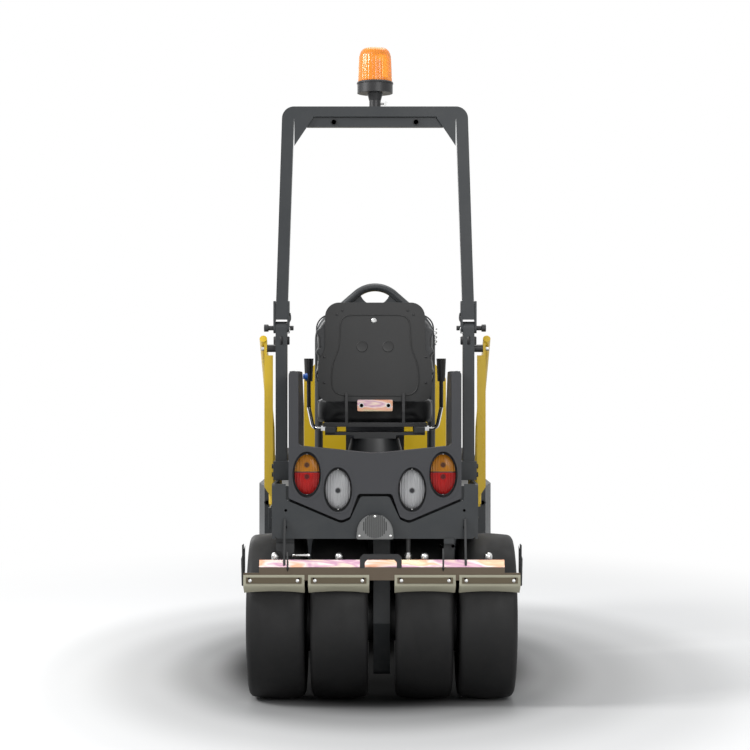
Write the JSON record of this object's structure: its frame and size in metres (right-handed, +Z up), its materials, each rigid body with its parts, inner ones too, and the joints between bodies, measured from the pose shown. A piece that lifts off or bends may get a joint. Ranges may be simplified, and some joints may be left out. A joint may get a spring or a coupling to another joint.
{
  "type": "articulated combination roller",
  "caption": "Small articulated combination roller: smooth steel drum in front, smooth tyres behind, open seat under a folding guard, beacon and yellow hood.",
  "frame": {"origin": "on the ground below the middle of the machine's outline", "axes": "+Y forward, towards the drum; +X right as seen from behind; +Z up"},
  "size_m": [1.071, 2.475, 2.482],
  "materials": {
    "paint_grey": "satin paint",
    "paint_yellow": "gloss paint",
    "bare_steel": "machined and worn",
    "zinc": "yellow passivated zinc",
    "tyre_rubber": "matt",
    "tank_plastic": "fine grain",
    "black_plastic": "satin",
    "light_plastic": "fine grain",
    "lamp_plastic": "clear coloured",
    "clear_plastic": "clear",
    "amber_plastic": "clear coloured",
    "scraper_plastic": "matt",
    "seat_vinyl": "leathercloth on foam",
    "blue_plastic": "satin",
    "engine_iron": "painted"
  },
  "bodies": {
    "rear_frame": {"rear_chassis": "paint_grey", "centre_girder": "paint_grey", "steering_pin": "bare_steel", "platform": "paint_grey", "wheel_motors": "bare_steel", "water_tank": "tank_plastic", "water_cap": "blue_plastic", "tail_lamps": "lamp_plastic", "work_lamps": "clear_plastic", "alarm_cover": "light_plastic", "scraper_rail": "zinc", "scraper_blades": "scraper_plastic", "guard_posts_lower": "paint_grey", "guard_pins": "bare_steel", "seat_base": "paint_grey", "seat_frame": "paint_grey", "seat_cushion": "seat_vinyl", "seat_backrest": "seat_vinyl", "console": "tank_plastic", "lifting_hoop": "paint_grey", "handrails": "paint_yellow", "rail_buffers": "black_plastic", "travel_levers": "bare_steel"},
    "guard_upper": {"guard_hoop": "paint_grey", "beacon_base": "black_plastic", "beacon_lens": "amber_plastic"},
    "wheels_left": {"tyre_left_inner": "tyre_rubber", "tyre_left_outer": "tyre_rubber", "rims_left": "paint_grey", "hub_left": "paint_grey"},
    "wheels_right": {"tyre_right_inner": "tyre_rubber", "tyre_right_outer": "tyre_rubber", "rims_right": "paint_grey", "hub_right": "paint_grey"},
    "steering_wheel": {"steering_wheel": "black_plastic"},
    "knuckle": {"knuckle": "paint_grey"},
    "steering_barrel": {"steering_barrel": "paint_grey"},
    "steering_rod": {"steering_rod": "bare_steel"},
    "front_frame": {"front_frame": "paint_grey", "engine_block": "engine_iron", "hood_hinges": "paint_grey"},
    "drum": {"drum": "bare_steel"},
    "hood": {"hood": "paint_yellow"}
  },
  "joints": [
    {"name": "guard_fold", "type": "hinge", "parent": "rear_frame", "child": "guard_upper", "pos_m": [0, -0.83, 1.409], "axis": [1, 0, 0], "range_deg": [0, 90]},
    {"name": "roll_left", "type": "hinge", "parent": "rear_frame", "child": "wheels_left", "pos_m": [-0.2495, -0.87, 0.3135], "axis": [-1, 0, 0], "continuous": true},
    {"name": "roll_right", "type": "hinge", "parent": "rear_frame", "child": "wheels_right", "pos_m": [0.2995, -0.87, 0.3135], "axis": [-1, 0, 0], "continuous": true},
    {"name": "wheel_turn", "type": "hinge", "parent": "rear_frame", "child": "steering_wheel", "pos_m": [0, -0.32, 1.3], "axis": [0, -0.3987, 0.9171], "continuous": true},
    {"name": "steer", "type": "hinge", "parent": "rear_frame", "child": "knuckle", "pos_m": [0, -0.02, 0.43], "axis": [0, 0, 1], "range_deg": [-30, 30]},
    {"name": "barrel_swing", "type": "hinge", "parent": "rear_frame", "child": "steering_barrel", "pos_m": [-0.15, -0.4, 0.446], "axis": [0, 0, 1], "range_deg": [-1.69, 1.69]},
    {"name": "rod_slide", "type": "slide", "parent": "steering_barrel", "child": "steering_rod", "axis": [0.1047, 0.9945, 0], "range_m": [-0.0564, 0.0564]},
    {"name": "oscillate", "type": "hinge", "parent": "knuckle", "child": "front_frame", "pos_m": [0, 0.2, 0.43], "axis": [0, 1, 0], "range_deg": [-8, 8]},
    {"name": "roll_drum", "type": "hinge", "parent": "front_frame", "child": "drum", "pos_m": [0, 0.83, 0.36], "axis": [-1, 0, 0], "continuous": true},
    {"name": "hood_lift", "type": "hinge", "parent": "front_frame", "child": "hood", "pos_m": [0, 1.185, 0.78], "axis": [-1, 0, 0], "range_deg": [0, 60]}
  ],
  "couplings": [
    {"joint": "barrel_swing", "follows": "steer", "ratio": -0.0398},
    {"joint": "rod_slide", "follows": "steer", "m_per_rad": -0.1039}
  ]
}
